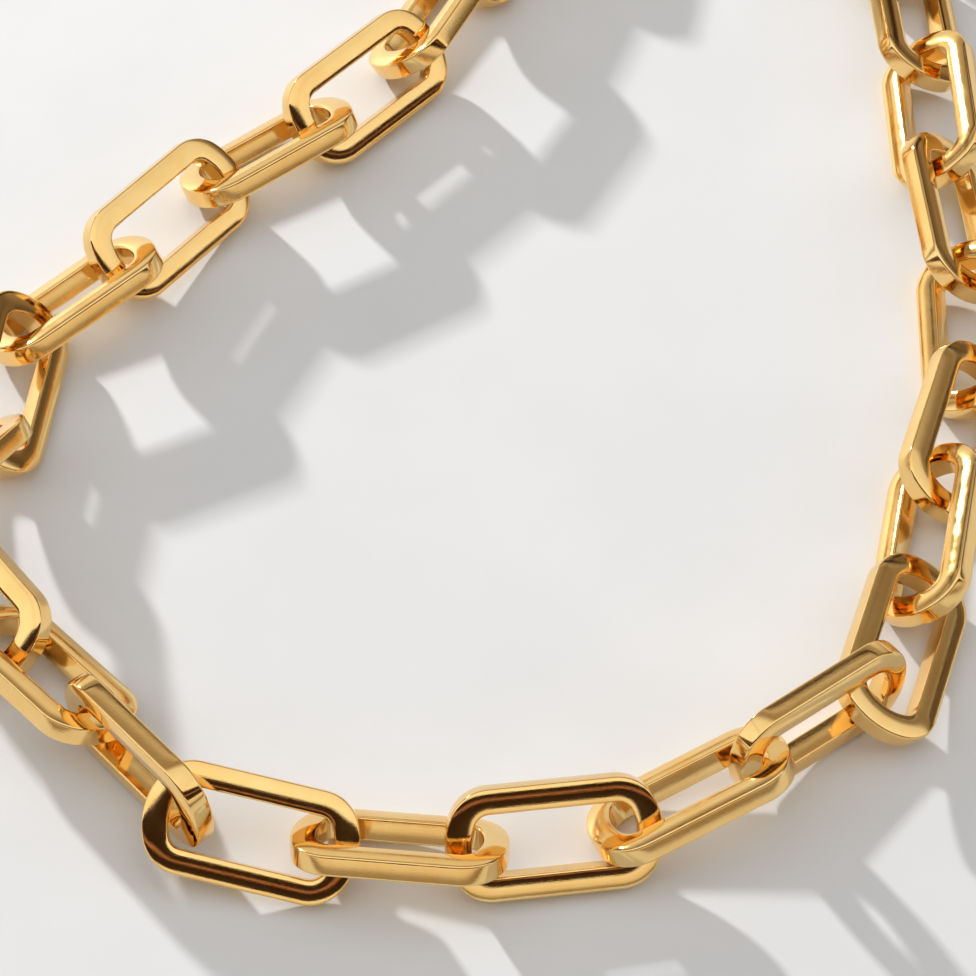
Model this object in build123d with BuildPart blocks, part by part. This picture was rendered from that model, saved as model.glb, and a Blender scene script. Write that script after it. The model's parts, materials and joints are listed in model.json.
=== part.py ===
from build123d import *
import math
import os

# Necklace chain of thirty plain links, lying on a table in a closed-looking loop that is undone
# at the clasp. Millimetres, +Z up, the table is Z = 0.

# One link: a bar of square section, its edges rounded, bent to a rounded oblong.
LINK_LENGTH = 20.0
LINK_WIDTH = 10.6
BAR = 2.4
BAR_EDGE = 0.6
CORNER_RADIUS = 2.7
END_RADIUS = 6.0

# Jump ring between the first link and the clasp.
RING_RADIUS = 3.8
RING_WIRE = 1.2

# Lobster clasp, laid out from the centre of its eye towards its nose.
EYE_OUTER = 2.8
EYE_HOLE = 1.7
EYE_THICK = 1.4
CLASP_THICK = 3.2
CLASP_CHAMFER = 0.35
CHEEK_AT = 5.8
CHEEK_RADIUS = 3.3
JAW_AT = 13.0
JAW_OUTER = 5.3
JAW_HOLE = 3.3
PIVOT = (6.2, 1.2)
PIN_RADIUS = 0.45
PIN_PLAY = 0.05
LEVER_THICK = 1.5
SLOT = 1.7
SLOT_FLOOR = -1.4
LEVER_ROOT = 1.5
LEVER_REACH = 9.55
LEVER_GAP = 0.1
SPRING_STRIP = 0.25
SPRING_WIDTH = 1.3

# How each link lies: centre x, centre y, heading of its long axis, lean about that axis, climb
# of its far end. Headings follow the chain from the clasp, down the left side and round.
LAY_SHIFT = (3.0, -47.15)
LAY = [
    (8.5, 110.0, -98, 37, 0),
    (6.5, 96.5, -99, -38, 0),
    (4.5, 83.5, -101, 37, 0),
    (1.0, 71.0, -112, -40, 0),
    (-5.5, 59.0, -118, 39, -1),
    (-13.0, 48.0, -135, -42, 0),
    (-23.0, 39.5, -145, 32, -2),
    (-33.0, 30.0, -129, -41, 4),
    (-42.0, 20.0, -141, 32, -5),
    (-47.5, 9.5, -98, -47, 0),
    (-52.0, -2.5, -117, 40, 22),
    (-49.5, -14.5, -50, 37, 0),
    (-41.5, -23.5, -46, -32, 7),
    (-32.0, -33.5, -48, 86, 7),
    (-21.5, -40.0, -11, 29, -8),
    (-8.0, -41.5, -7, -38, 4),
    (6.0, -40.5, 7, 42, -1),
    (18.5, -36.5, 25, -33, 10),
    (30.5, -29.0, 36, 82, -4),
    (39.0, -20.5, 71, 28, -5),
    (42.5, -8.0, 78, -42, 0),
    (46.5, 4.0, 71, 35, -1),
    (48.5, 16.5, 89, -36, 2),
    (48.0, 30.5, 96, 39, 2),
    (47.0, 44.5, 91, -40, -4),
    (46.0, 58.5, 94, 32, -2),
    (45.0, 72.0, 95, -38, 0),
    (44.0, 85.5, 94, 37, 0),
    (42.5, 98.5, 97, -38, 0),
    (41.0, 112.0, 98, 37, 0),
]
RING_LAY = (11.0, 119.5, 75, 67, 2)
CLASP_LAY = (12.0, 123.0, 82, 0, -7)


# Centreline of a link: two end arcs and four corner arcs, all tangent, and two straight bars.
HALF_WIDTH = (LINK_WIDTH - BAR) / 2
HALF_LENGTH = (LINK_LENGTH - BAR) / 2
CORNER_Y = HALF_WIDTH - CORNER_RADIUS
END_X = HALF_LENGTH - END_RADIUS
CORNER_X = END_X + math.sqrt((END_RADIUS - CORNER_RADIUS) ** 2 - CORNER_Y ** 2)
BLEND = math.degrees(math.atan2(CORNER_Y, CORNER_X - END_X))


def direction(lay):
    """Unit vectors along, across and square to something laid with this heading, lean, climb."""
    heading, lean, climb = (math.radians(angle) for angle in lay[2:])
    along = Vector(math.cos(heading) * math.cos(climb), math.sin(heading) * math.cos(climb),
                   math.sin(climb))
    level = Vector(-math.sin(heading), math.cos(heading), 0)
    square = along.cross(level)
    across = level * math.cos(lean) + square * math.sin(lean)
    normal = square * math.cos(lean) - level * math.sin(lean)
    return along, across, normal


def plane_at(lay, height):
    """Plane with its X along the thing laid, and its Z square to the thing's flat side."""
    along, across, normal = direction(lay)
    origin = (lay[0] + LAY_SHIFT[0], lay[1] + LAY_SHIFT[1], height)
    return Plane(origin=origin, x_dir=along, z_dir=normal)


def link_height(lay):
    """Height of a link's centre when its lowest corner just rests on the table."""
    along, across, normal = direction(lay)
    slope = math.hypot(along.Z, across.Z)
    centreline = CORNER_X * abs(along.Z) + CORNER_Y * abs(across.Z) + CORNER_RADIUS * slope
    return centreline + (BAR / 2 - BAR_EDGE) * (slope + abs(normal.Z)) + BAR_EDGE


def ring_height(lay):
    normal = direction(lay)[2]
    return RING_RADIUS * math.sqrt(1 - normal.Z ** 2) + RING_WIRE / 2


def clasp_height(lay):
    """Height of the eye's centre when the nose rests on the table."""
    along, across, normal = direction(lay)
    nose = JAW_AT + JAW_OUTER - CLASP_CHAMFER
    return nose * abs(along.Z) + CLASP_THICK / 2 * normal.Z


def make_link(plane):
    with BuildPart() as link:
        with BuildLine(plane) as centreline:
            for side, facing in ((1, 0), (-1, 180)):
                Line((0, side * HALF_WIDTH), (side * CORNER_X, side * HALF_WIDTH))
                Line((0, -side * HALF_WIDTH), (side * CORNER_X, -side * HALF_WIDTH))
                CenterArc((side * CORNER_X, side * CORNER_Y), CORNER_RADIUS, facing + BLEND,
                          90 - BLEND)
                CenterArc((side * CORNER_X, -side * CORNER_Y), CORNER_RADIUS, facing - 90,
                          90 - BLEND)
                CenterArc((side * END_X, 0), END_RADIUS, facing - BLEND, 2 * BLEND)
        start = plane.from_local_coords((0, HALF_WIDTH, 0))
        with BuildSketch(Plane(origin=start, x_dir=plane.z_dir, z_dir=plane.x_dir)):
            RectangleRounded(BAR, BAR, BAR_EDGE)
        sweep(path=centreline.wire(), transition=Transition.TRANSFORMED)
    return link.part


def make_ring(plane):
    with BuildPart() as ring:
        wire_at = Plane(origin=plane.from_local_coords((RING_RADIUS, 0, 0)), x_dir=plane.x_dir,
                        z_dir=plane.y_dir)
        with BuildSketch(wire_at):
            Circle(RING_WIRE / 2)
        revolve(axis=Axis(plane.origin, plane.z_dir))
    return ring.part


def make_clasp_body(plane):
    """Hook with an eye at its tail, cut away where the lever closes it and slotted for the lever."""
    with BuildPart() as body:
        with BuildSketch(plane):
            with Locations((CHEEK_AT, 0)):
                Circle(CHEEK_RADIUS)
            with Locations((JAW_AT, 0)):
                Circle(JAW_OUTER)
            make_hull()
        extrude(amount=CLASP_THICK / 2, both=True)
        flats = body.faces().filter_by(plane)
        chamfer(flats.edges(), CLASP_CHAMFER)
        with BuildSketch(plane):
            Circle(EYE_OUTER)
        extrude(amount=EYE_THICK / 2, both=True)
        with BuildSketch(plane):
            Circle(EYE_HOLE)
            with Locations((JAW_AT, 0)):
                Circle(JAW_HOLE)
            with Locations(PIVOT):
                Circle(PIN_RADIUS)
        extrude(amount=CLASP_THICK, both=True, mode=Mode.SUBTRACT)
        with BuildSketch(plane):
            with Locations(PIVOT):
                Circle(LEVER_REACH + LEVER_GAP)
            with Locations((9.2, 0.6)):
                Rectangle(10, 6, align=(Align.MIN, Align.MIN), mode=Mode.INTERSECT)
        extrude(amount=CLASP_THICK, both=True, mode=Mode.SUBTRACT)
        with BuildSketch(plane):
            with Locations((PIVOT[0] - LEVER_ROOT - 0.4, SLOT_FLOOR)):
                Rectangle(6.3, 8, align=(Align.MIN, Align.MIN))
        extrude(amount=SLOT / 2, both=True, mode=Mode.SUBTRACT)
    return body.part


def make_clasp_lever(plane):
    """Gate that closes the hook, with its root on the pin and a nub for the thumb."""
    with BuildPart() as lever:
        with BuildSketch(plane):
            with Locations((JAW_AT, 0)):
                Circle(JAW_OUTER - 0.1)
                Circle(JAW_HOLE + 0.1, mode=Mode.SUBTRACT)
            with Locations((8.5, 0.7)):
                Rectangle(10, 6, align=(Align.MIN, Align.MIN), mode=Mode.INTERSECT)
            with Locations(PIVOT):
                Circle(LEVER_REACH, mode=Mode.INTERSECT)
            with Locations(PIVOT):
                Circle(LEVER_ROOT)
            Polygon((6.2, -0.2), (9.9, 1.0), (9.4, 3.7), (6.2, 2.6), align=None)
            with Locations((7.3, 4.3)):
                Circle(0.9)
            Polygon((6.5, 2.0), (8.4, 2.0), (8.2, 4.3), (6.4, 4.3), align=None)
        extrude(amount=LEVER_THICK / 2, both=True)
        with BuildSketch(plane):
            with Locations(PIVOT):
                Circle(PIN_RADIUS + PIN_PLAY)
        extrude(amount=LEVER_THICK, both=True, mode=Mode.SUBTRACT)
    return lever.part


def make_clasp_pin(plane):
    with BuildPart() as pin:
        with BuildSketch(plane):
            with Locations(PIVOT):
                Circle(PIN_RADIUS)
        extrude(amount=CLASP_THICK / 2, both=True)
    return pin.part


def make_clasp_spring(plane):
    """Bent leaf: one leg on the floor of the slot, the other just under the lever."""
    floor = SLOT_FLOOR + SPRING_STRIP / 2
    with BuildPart() as spring:
        with BuildSketch(plane):
            with BuildLine():
                Polyline((8.6, floor), (4.9, floor), (8.3, 0.0))
            trace(line_width=SPRING_STRIP)
        extrude(amount=SPRING_WIDTH / 2, both=True)
    return spring.part


def hand_in(piece, name):
    piece.label = name
    export_step(piece, "parts/" + name + ".step")


os.makedirs("parts", exist_ok=True)

for number, lay in enumerate(LAY, start=1):
    hand_in(make_link(plane_at(lay, link_height(lay))), f"link_{number:02d}")

hand_in(make_ring(plane_at(RING_LAY, ring_height(RING_LAY))), "jump_ring")

clasp_plane = plane_at(CLASP_LAY, clasp_height(CLASP_LAY))
hand_in(make_clasp_body(clasp_plane), "clasp_body")
hand_in(make_clasp_lever(clasp_plane), "clasp_lever")
hand_in(make_clasp_pin(clasp_plane), "clasp_pin")
hand_in(make_clasp_spring(clasp_plane), "clasp_spring")
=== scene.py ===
"""Visual model of the chain necklace: polished gold links, jump ring and lobster clasp on a pale floor."""

import json
import math

import bpy
import numpy as np
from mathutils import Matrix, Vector


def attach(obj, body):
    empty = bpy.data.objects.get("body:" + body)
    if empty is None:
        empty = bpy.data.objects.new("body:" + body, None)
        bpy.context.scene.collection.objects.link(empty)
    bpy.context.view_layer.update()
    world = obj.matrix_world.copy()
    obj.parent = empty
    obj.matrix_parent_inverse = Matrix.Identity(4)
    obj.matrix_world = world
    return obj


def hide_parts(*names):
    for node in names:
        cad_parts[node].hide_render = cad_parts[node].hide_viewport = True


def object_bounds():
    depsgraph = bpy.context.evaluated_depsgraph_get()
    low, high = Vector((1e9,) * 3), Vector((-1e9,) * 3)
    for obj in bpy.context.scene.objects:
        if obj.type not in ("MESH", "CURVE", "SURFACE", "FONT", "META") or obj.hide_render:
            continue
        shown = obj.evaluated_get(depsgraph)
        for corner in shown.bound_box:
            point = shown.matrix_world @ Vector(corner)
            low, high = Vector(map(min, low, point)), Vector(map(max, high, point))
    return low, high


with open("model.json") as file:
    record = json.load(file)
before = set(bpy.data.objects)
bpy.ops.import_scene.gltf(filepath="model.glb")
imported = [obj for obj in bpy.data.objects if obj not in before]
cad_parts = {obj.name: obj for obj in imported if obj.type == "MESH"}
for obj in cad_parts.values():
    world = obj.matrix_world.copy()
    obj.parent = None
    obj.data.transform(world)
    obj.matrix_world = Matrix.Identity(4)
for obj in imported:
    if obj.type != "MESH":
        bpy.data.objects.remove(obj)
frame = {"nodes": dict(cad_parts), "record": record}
CAD_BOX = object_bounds()

MM = 0.001

# One link, in millimetres, as in the CAD: outer length and width, bar, and the two bend radii.
LINK_LENGTH = 20.0
LINK_WIDTH = 10.6
BAR = 2.4
CORNER_RADIUS = 2.7
END_RADIUS = 6.0

# The bar's section, in millimetres.
FACE_CROWN = 0.0957   # curvature of the bar's top and bottom faces, per mm
FACE_PEAK = -0.4      # where across the bar those faces are highest: nearer the hole
WALL_CROWN = 0.04     # the same curvature for the outer and inner walls
OUTER_EDGE = 0.20     # rounding where a face meets the outer wall, and the inner wall
INNER_EDGE = 0.22
EDGE_CUT = 0.02       # how far each rounded edge is pulled in from a sharp corner

# How finely the link is meshed.
ARC_STEPS = 14
STRAIGHT_STEPS = 12
FLAT_STEPS = 6
EDGE_STEPS = 5


# ---------------------------------------------------------------- shape of a link

def link_centreline():
    """Points and outward normals round the middle of a link's bar, and the distance along it."""
    half_width = (LINK_WIDTH - BAR) / 2
    end_x = (LINK_LENGTH - BAR) / 2 - END_RADIUS
    corner_y = half_width - CORNER_RADIUS
    corner_x = end_x + math.sqrt((END_RADIUS - CORNER_RADIUS) ** 2 - corner_y ** 2)
    blend = math.atan2(corner_y, corner_x - end_x)
    quarter = math.pi / 2
    points = []

    def arc(x, y, radius, start, stop):
        for step in range(ARC_STEPS):
            angle = start + (stop - start) * step / ARC_STEPS
            points.append((x + radius * math.cos(angle), y + radius * math.sin(angle),
                           math.cos(angle), math.sin(angle)))

    def straight(side):
        for step in range(STRAIGHT_STEPS):
            x = side * corner_x * (1 - 2 * step / STRAIGHT_STEPS)
            points.append((x, side * half_width, 0.0, side))

    for side, turn in ((1, 0.0), (-1, math.pi)):
        arc(side * end_x, 0, END_RADIUS, turn - blend, turn + blend)
        arc(side * corner_x, side * corner_y, CORNER_RADIUS, turn + blend, turn + quarter)
        straight(side)
        arc(-side * corner_x, side * corner_y, CORNER_RADIUS, turn + quarter,
            turn + math.pi - blend)
    return points, distances(points)


def distances(loop):
    """Running length round a closed loop of points, starting at 0 and ending back at the start."""
    lengths = [0.0]
    for here, there in zip(loop, loop[1:] + loop[:1]):
        lengths.append(lengths[-1] + math.hypot(there[0] - here[0], there[1] - here[1]))
    return lengths


def bar_section():
    """Outline of the bar's section: faces that slope a little outwards, walls, and crisp edges."""
    half = BAR / 2

    def face(out):
        return half - FACE_CROWN * (out - FACE_PEAK) ** 2

    def wall(up):
        return half - WALL_CROWN * up * up

    def edge(start, corner, stop):
        points = []
        for step in range(EDGE_STEPS):
            t = step / EDGE_STEPS
            weights = ((1 - t) ** 2, 2 * t * (1 - t), t * t)
            points.append(tuple(sum(weight * point[axis] for weight, point
                                    in zip(weights, (start, corner, stop))) for axis in (0, 1)))
        return points

    def spread(first, last):
        return [first + (last - first) * step / FLAT_STEPS for step in range(1, FLAT_STEPS)]

    outer_out, inner_out = half - OUTER_EDGE, -half + INNER_EDGE
    outer_up, inner_up = face(half) - OUTER_EDGE, face(-half) - INNER_EDGE
    upper = edge((wall(outer_up), outer_up), (half - EDGE_CUT, face(half)),
                 (outer_out, face(outer_out)))
    upper += [(outer_out, face(outer_out))]
    upper += [(out, face(out)) for out in spread(outer_out, inner_out)]
    upper += edge((inner_out, face(inner_out)), (-half + EDGE_CUT, face(-half)),
                  (-wall(inner_up), inner_up))
    upper += [(-wall(inner_up), inner_up)]
    inner = [(-wall(up), up) for up in spread(inner_up, -inner_up)]
    lower = [(out, -up) for out, up in reversed(upper)]
    outer = [(wall(up), up) for up in spread(-outer_up, outer_up)]
    return upper + inner + lower + outer


def link_template():
    """Vertices in the link's own axes in metres, the faces, and a UV per face corner."""
    points, along = link_centreline()
    section = bar_section()
    around = distances(section)
    vertices = [((x + nx * out) * MM, (y + ny * out) * MM, up * MM)
                for x, y, nx, ny in points for out, up in section]
    rows, columns = len(points), len(section)
    faces, uvs = [], []
    for row in range(rows):
        for column in range(columns):
            right, above = (row + 1) % rows, (column + 1) % columns
            faces.append((row * columns + column, right * columns + column,
                          right * columns + above, row * columns + above))
            uvs += [(along[row], around[column]), (along[row + 1], around[column]),
                    (along[row + 1], around[column + 1]), (along[row], around[column + 1])]
    return np.array(vertices), faces, uvs


def make_mesh(name, vertices, faces, uvs):
    mesh = bpy.data.meshes.new(name)
    mesh.from_pydata([tuple(vertex) for vertex in vertices], [], faces)
    layer = mesh.uv_layers.new(name="UVMap")
    layer.data.foreach_set("uv", [value for uv in uvs for value in uv])
    mesh.validate()
    mesh.shade_smooth()
    piece = bpy.data.objects.new(name, mesh)
    bpy.context.scene.collection.objects.link(piece)
    return piece


def own_axes(node):
    """Centre of a CAD node and its own long, middle and short axes, from its surface."""
    mesh = frame["nodes"][node].data
    mesh.calc_loop_triangles()
    points = np.empty(len(mesh.vertices) * 3)
    mesh.vertices.foreach_get("co", points)
    points = points.reshape(-1, 3)
    index = np.empty(len(mesh.loop_triangles) * 3, dtype=int)
    mesh.loop_triangles.foreach_get("vertices", index)
    corners = points[index.reshape(-1, 3)]
    cross = np.cross(corners[:, 1] - corners[:, 0], corners[:, 2] - corners[:, 0])
    area = np.linalg.norm(cross, axis=1)
    middles = corners.mean(axis=1)
    centre = (middles * area[:, None]).sum(axis=0) / area.sum()
    # The second moment of a triangle is exact with its corners counted once and its middle 9 times.
    samples = np.concatenate([corners.reshape(-1, 3), middles, middles, middles]) - centre
    weight = np.concatenate([np.repeat(area, 3), area * 3, area * 3, area * 3])
    moment = (samples * weight[:, None]).T @ samples
    vectors = np.linalg.eigh(moment)[1]
    long_axis, middle_axis = vectors[:, 2], vectors[:, 1]
    return centre, np.stack([long_axis, middle_axis, np.cross(long_axis, middle_axis)])


# ---------------------------------------------------------------- materials

GOLD_LIGHT = (0.95, 0.66, 0.27)
GOLD_DEEP = (0.93, 0.60, 0.22)
LINK_ROUGHNESS = (0.045, 0.10)
PART_ROUGHNESS = (0.06, 0.12)
STEEL_DARK = (0.50, 0.50, 0.52)
STEEL_LIGHT = (0.66, 0.66, 0.68)
STEEL_ROUGHNESS = (0.25, 0.4)
PLASTER_DARK = (0.765, 0.80, 0.845)
PLASTER_LIGHT = (0.805, 0.84, 0.885)
PLASTER_ROUGHNESS = 0.75

# Noise scales, per metre: slow changes of tint, smaller patches of polish, and fine specks.
TINT_SCALE = 260.0
PATCH_SCALE = 900.0
SPECK_SCALE = 5200.0
GRAIN_SCALE = 3000.0
MOTTLE_SCALE = 40.0

# Polishing lines: stretched along the bar on the links, and level across the clasp and ring.
LINE_STRETCH = (0.35, 9.0, 1.0)
LINE_SCALE = 1.6
PART_LINE_STRETCH = (500.0, 500.0, 5000.0)
PART_LINE_SCALE = 1.0
LINE_STRENGTH, LINE_DEPTH = 0.15, 0.00002
SPECK_STRENGTH, SPECK_DEPTH = 0.13, 0.00001

# Middle part of a noise's output, where nearly all of it lies.
NOISE_LOW, NOISE_HIGH = 0.3, 0.7


def new_material(name):
    """Material with its nodes, links, shader and texture coordinates at hand."""
    material = bpy.data.materials.new(name)
    material.use_nodes = True
    nodes, links = material.node_tree.nodes, material.node_tree.links
    return material, nodes, links, nodes["Principled BSDF"], nodes.new("ShaderNodeTexCoord")


def ramp(nodes, stops):
    node = nodes.new("ShaderNodeValToRGB")
    elements = node.color_ramp.elements
    while len(elements) < len(stops):
        elements.new(0.5)
    for element, (position, colour) in zip(elements, stops):
        element.position = position
        element.color = (*colour, 1.0)
    return node


def noise(nodes, links, vector, scale, detail=3.0, roughness=0.55):
    node = nodes.new("ShaderNodeTexNoise")
    node.inputs["Scale"].default_value = scale
    node.inputs["Detail"].default_value = detail
    node.inputs["Roughness"].default_value = roughness
    links.new(vector, node.inputs["Vector"])
    return node.outputs["Fac"]


def remap(nodes, links, value, source, target):
    """The value with the source range stretched onto the target range."""
    node = nodes.new("ShaderNodeMapRange")
    node.inputs["From Min"].default_value = source[0]
    node.inputs["From Max"].default_value = source[1]
    node.inputs["To Min"].default_value = target[0]
    node.inputs["To Max"].default_value = target[1]
    links.new(value, node.inputs["Value"])
    return node.outputs["Result"]


def tint(nodes, links, shader, value, stops):
    colours = ramp(nodes, stops)
    links.new(value, colours.inputs["Fac"])
    links.new(colours.outputs["Color"], shader.inputs["Base Color"])


def bump(nodes, links, height, strength, depth):
    node = nodes.new("ShaderNodeBump")
    node.inputs["Strength"].default_value = strength
    node.inputs["Distance"].default_value = depth
    links.new(height, node.inputs["Height"])
    return node


def polished_gold(name, roughness, along_bar):
    """Polished plate: slight tint changes, fine polishing lines along the bar, faint specks."""
    material, nodes, links, shader, place = new_material(name)
    shader.inputs["Metallic"].default_value = 1.0
    spot = place.outputs["Object"]
    tint(nodes, links, shader, noise(nodes, links, spot, TINT_SCALE),
         ((0.35, GOLD_LIGHT), (0.65, GOLD_DEEP)))
    patches = noise(nodes, links, spot, PATCH_SCALE)
    links.new(remap(nodes, links, patches, (NOISE_LOW, NOISE_HIGH), roughness),
              shader.inputs["Roughness"])
    stretch = nodes.new("ShaderNodeMapping")
    if along_bar:
        links.new(place.outputs["UV"], stretch.inputs["Vector"])
        stretch.inputs["Scale"].default_value = LINE_STRETCH
        line_scale = LINE_SCALE
    else:
        links.new(spot, stretch.inputs["Vector"])
        stretch.inputs["Scale"].default_value = PART_LINE_STRETCH
        line_scale = PART_LINE_SCALE
    lines = noise(nodes, links, stretch.outputs["Vector"], line_scale, 4.0, 0.6)
    specks = noise(nodes, links, spot, SPECK_SCALE, 2.0, 0.5)
    relief = bump(nodes, links, lines, LINE_STRENGTH, LINE_DEPTH)
    fine = bump(nodes, links, specks, SPECK_STRENGTH, SPECK_DEPTH)
    links.new(relief.outputs["Normal"], fine.inputs["Normal"])
    links.new(fine.outputs["Normal"], shader.inputs["Normal"])
    return material


def spring_steel(name):
    material, nodes, links, shader, place = new_material(name)
    shader.inputs["Metallic"].default_value = 1.0
    grain = noise(nodes, links, place.outputs["Object"], GRAIN_SCALE)
    tint(nodes, links, shader, grain, ((NOISE_LOW, STEEL_DARK), (NOISE_HIGH, STEEL_LIGHT)))
    links.new(remap(nodes, links, grain, (NOISE_LOW, NOISE_HIGH), STEEL_ROUGHNESS),
              shader.inputs["Roughness"])
    return material


def pale_plaster(name):
    """Floor finish: nearly white, with very faint mottling."""
    material, nodes, links, shader, place = new_material(name)
    shader.inputs["Roughness"].default_value = PLASTER_ROUGHNESS
    tint(nodes, links, shader, noise(nodes, links, place.outputs["Object"], MOTTLE_SCALE),
         ((NOISE_LOW, PLASTER_DARK), (NOISE_HIGH, PLASTER_LIGHT)))
    return material


def finish_with(piece, material):
    piece.data.materials.clear()
    piece.data.materials.append(material)


link_gold = polished_gold("link_gold", LINK_ROUGHNESS, True)
part_gold = polished_gold("part_gold", PART_ROUGHNESS, False)
steel = spring_steel("spring_steel")


# ---------------------------------------------------------------- links

node_body = {node: body for body, nodes in frame["record"]["behaviour"]["bodies"].items()
             for node in nodes}
link_nodes = sorted(node for node in node_body if node.startswith("link_"))
template, template_faces, template_uvs = link_template()
for node in link_nodes:
    centre, axes = own_axes(node)
    piece = make_mesh("polished_" + node, template @ axes + centre, template_faces, template_uvs)
    finish_with(piece, link_gold)
    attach(piece, node_body[node])
    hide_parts(node)


# ---------------------------------------------------------------- ring and clasp

CAD_FINISH = {"jump_ring": part_gold, "clasp_body": part_gold, "clasp_lever": part_gold,
              "clasp_pin": part_gold, "clasp_spring": steel}
for node, material in CAD_FINISH.items():
    for material_slot in frame["nodes"][node].material_slots:
        material_slot.material = material


# ---------------------------------------------------------------- floor

FLOOR_SIZE = 3.0
FLOOR_DROP = 0.00002   # just under the lowest point, so that no surfaces share a place

low, high = (Vector(corner) for corner in CAD_BOX)
middle = (low + high) / 2
bpy.ops.mesh.primitive_plane_add(size=FLOOR_SIZE,
                                 location=(middle.x, middle.y, low.z - FLOOR_DROP))
floor = bpy.context.object
floor.name = "floor"
finish_with(floor, pale_plaster("floor_plaster"))


# ---------------------------------------------------------------- light

# The camera looks at a point between the two strands, and the lamp stands round it.
LOOK_AT = Vector((0.0030, -0.04715, 0.0))

KEY_BEARING = math.radians(38.5)     # 0 is behind the look-at point, 90 to its left
KEY_ELEVATION = math.radians(17.5)
KEY_DISTANCE = 1.2
KEY_SIZE = 0.05
KEY_POWER = 17.5
KEY_COLOUR = (1.0, 0.96, 0.91)

# Light round the room over the arch from the back horizon (0) through overhead (0.5) to the
# front horizon (1). The near-black stretches are flags, which give the gold its dark bands.
ARCH_LIGHT = (
    (0.00, (0.85, 0.81, 0.75)), (0.10, (1.00, 0.96, 0.90)), (0.16, (0.46, 0.40, 0.33)),
    (0.205, (0.44, 0.38, 0.31)), (0.213, (0.05, 0.03, 0.02)), (0.228, (0.05, 0.03, 0.02)),
    (0.236, (0.64, 0.58, 0.50)), (0.250, (0.64, 0.58, 0.50)), (0.262, (0.38, 0.32, 0.25)),
    (0.30, (0.36, 0.30, 0.24)), (0.35, (0.92, 0.90, 0.87)), (0.50, (1.05, 1.05, 1.05)),
    (0.645, (1.20, 1.16, 1.10)), (0.655, (0.05, 0.030, 0.018)), (0.715, (0.03, 0.015, 0.008)),
    (0.725, (0.46, 0.22, 0.14)), (0.735, (0.46, 0.22, 0.14)), (0.745, (0.03, 0.015, 0.008)),
    (0.83, (0.05, 0.030, 0.018)), (0.845, (1.00, 0.93, 0.82)), (0.93, (0.78, 0.70, 0.58)),
    (0.95, (0.38, 0.31, 0.24)), (1.00, (0.32, 0.27, 0.21)))

# How that changes from the left (0) to the right (1), with one narrow flag at each side.
SIDE_LIGHT = (
    (0.00, (1.25, 1.24, 1.22)), (0.15, (1.10, 1.10, 1.10)), (0.16, (0.20, 0.14, 0.09)),
    (0.18, (0.20, 0.14, 0.09)), (0.19, (0.95, 0.95, 0.95)), (0.35, (0.85, 0.85, 0.85)),
    (0.65, (0.80, 0.79, 0.77)), (0.78, (0.40, 0.33, 0.26)), (0.79, (0.06, 0.04, 0.02)),
    (0.82, (0.06, 0.04, 0.02)), (0.83, (0.34, 0.27, 0.21)), (1.00, (0.15, 0.11, 0.08)))

# The sideways change is full low at the back, and weak from partway up the arch.
SIDE_FADE_ARCH = (0.15, 0.34)
SIDE_FADE = (1.0, 0.15)
ROOM_STRENGTH = 1.03


def key_lamp():
    """Small, low lamp behind on the left, which throws the long soft shadows."""
    light = bpy.data.lights.new("key", "AREA")
    light.shape = "RECTANGLE"
    light.size = light.size_y = KEY_SIZE
    light.energy = KEY_POWER
    light.color = KEY_COLOUR
    lamp = bpy.data.objects.new("key", light)
    bpy.context.scene.collection.objects.link(lamp)
    away = Vector((-math.sin(KEY_BEARING) * math.cos(KEY_ELEVATION),
                   math.cos(KEY_BEARING) * math.cos(KEY_ELEVATION),
                   math.sin(KEY_ELEVATION)))
    lamp.location = LOOK_AT + away * KEY_DISTANCE
    lamp.rotation_euler = away.to_track_quat("Z", "Y").to_euler()


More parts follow.
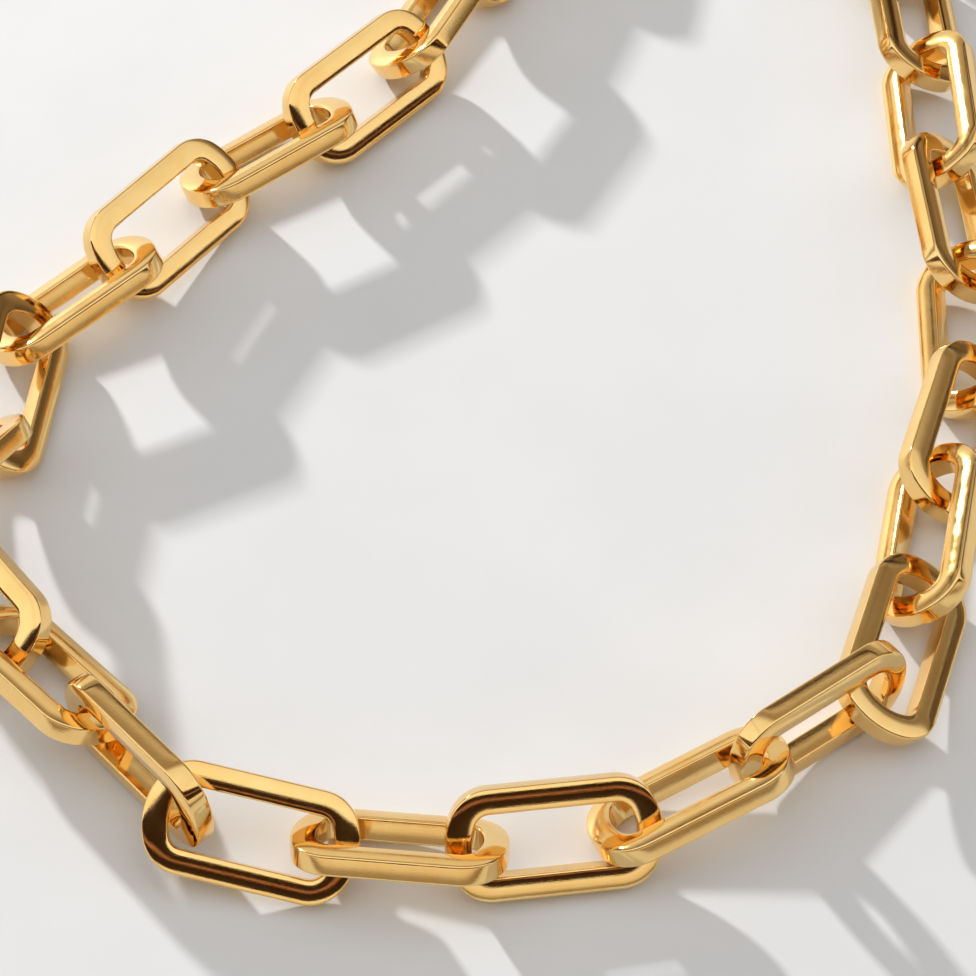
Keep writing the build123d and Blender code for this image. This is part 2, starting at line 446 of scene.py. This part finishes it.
def studio_room():
    """Pale room: bright behind and overhead, dark flags above the front, dimmer to the right."""
    world = bpy.data.worlds.new("studio")
    bpy.context.scene.world = world
    world.use_nodes = True
    nodes, links = world.node_tree.nodes, world.node_tree.links
    place = nodes.new("ShaderNodeTexCoord")
    split = nodes.new("ShaderNodeSeparateXYZ")
    links.new(place.outputs["Generated"], split.inputs["Vector"])
    tilt = nodes.new("ShaderNodeMath")
    tilt.operation = "ARCTAN2"
    links.new(split.outputs["Z"], tilt.inputs[0])
    links.new(split.outputs["Y"], tilt.inputs[1])
    arch = remap(nodes, links, tilt.outputs["Value"], (0.0, math.pi), (0.0, 1.0))
    over = ramp(nodes, ARCH_LIGHT)
    links.new(arch, over.inputs["Fac"])
    across = ramp(nodes, SIDE_LIGHT)
    links.new(remap(nodes, links, split.outputs["X"], (-1.0, 1.0), (0.0, 1.0)),
              across.inputs["Fac"])
    both = nodes.new("ShaderNodeMix")
    both.data_type = "RGBA"
    both.blend_type = "MULTIPLY"
    first, second = (socket for socket in both.inputs
                     if socket.type == "RGBA" and socket.name in ("A", "B"))
    result = next(socket for socket in both.outputs if socket.type == "RGBA")
    links.new(remap(nodes, links, arch, SIDE_FADE_ARCH, SIDE_FADE), both.inputs["Factor"])
    links.new(over.outputs["Color"], first)
    links.new(across.outputs["Color"], second)
    backdrop = nodes["Background"]
    links.new(result, backdrop.inputs["Color"])
    backdrop.inputs["Strength"].default_value = ROOM_STRENGTH


key_lamp()
studio_room()


# ---------------------------------------------------------------- camera

CAMERA_ELEVATION = math.radians(57.1)
CAMERA_DISTANCE = 0.308
CAMERA_NEAR = 0.01
LENS = 114.8

camera_data = bpy.data.cameras.new("camera")
camera_data.lens = LENS
camera_data.clip_start = CAMERA_NEAR
camera = bpy.data.objects.new("camera", camera_data)
bpy.context.scene.collection.objects.link(camera)
camera.location = LOOK_AT + Vector((0.0, -math.cos(CAMERA_ELEVATION),
                                    math.sin(CAMERA_ELEVATION))) * CAMERA_DISTANCE
camera.rotation_euler = (math.pi / 2 - CAMERA_ELEVATION, 0.0, 0.0)
bpy.context.scene.camera = camera
bpy.context.scene.view_settings.view_transform = "Standard"
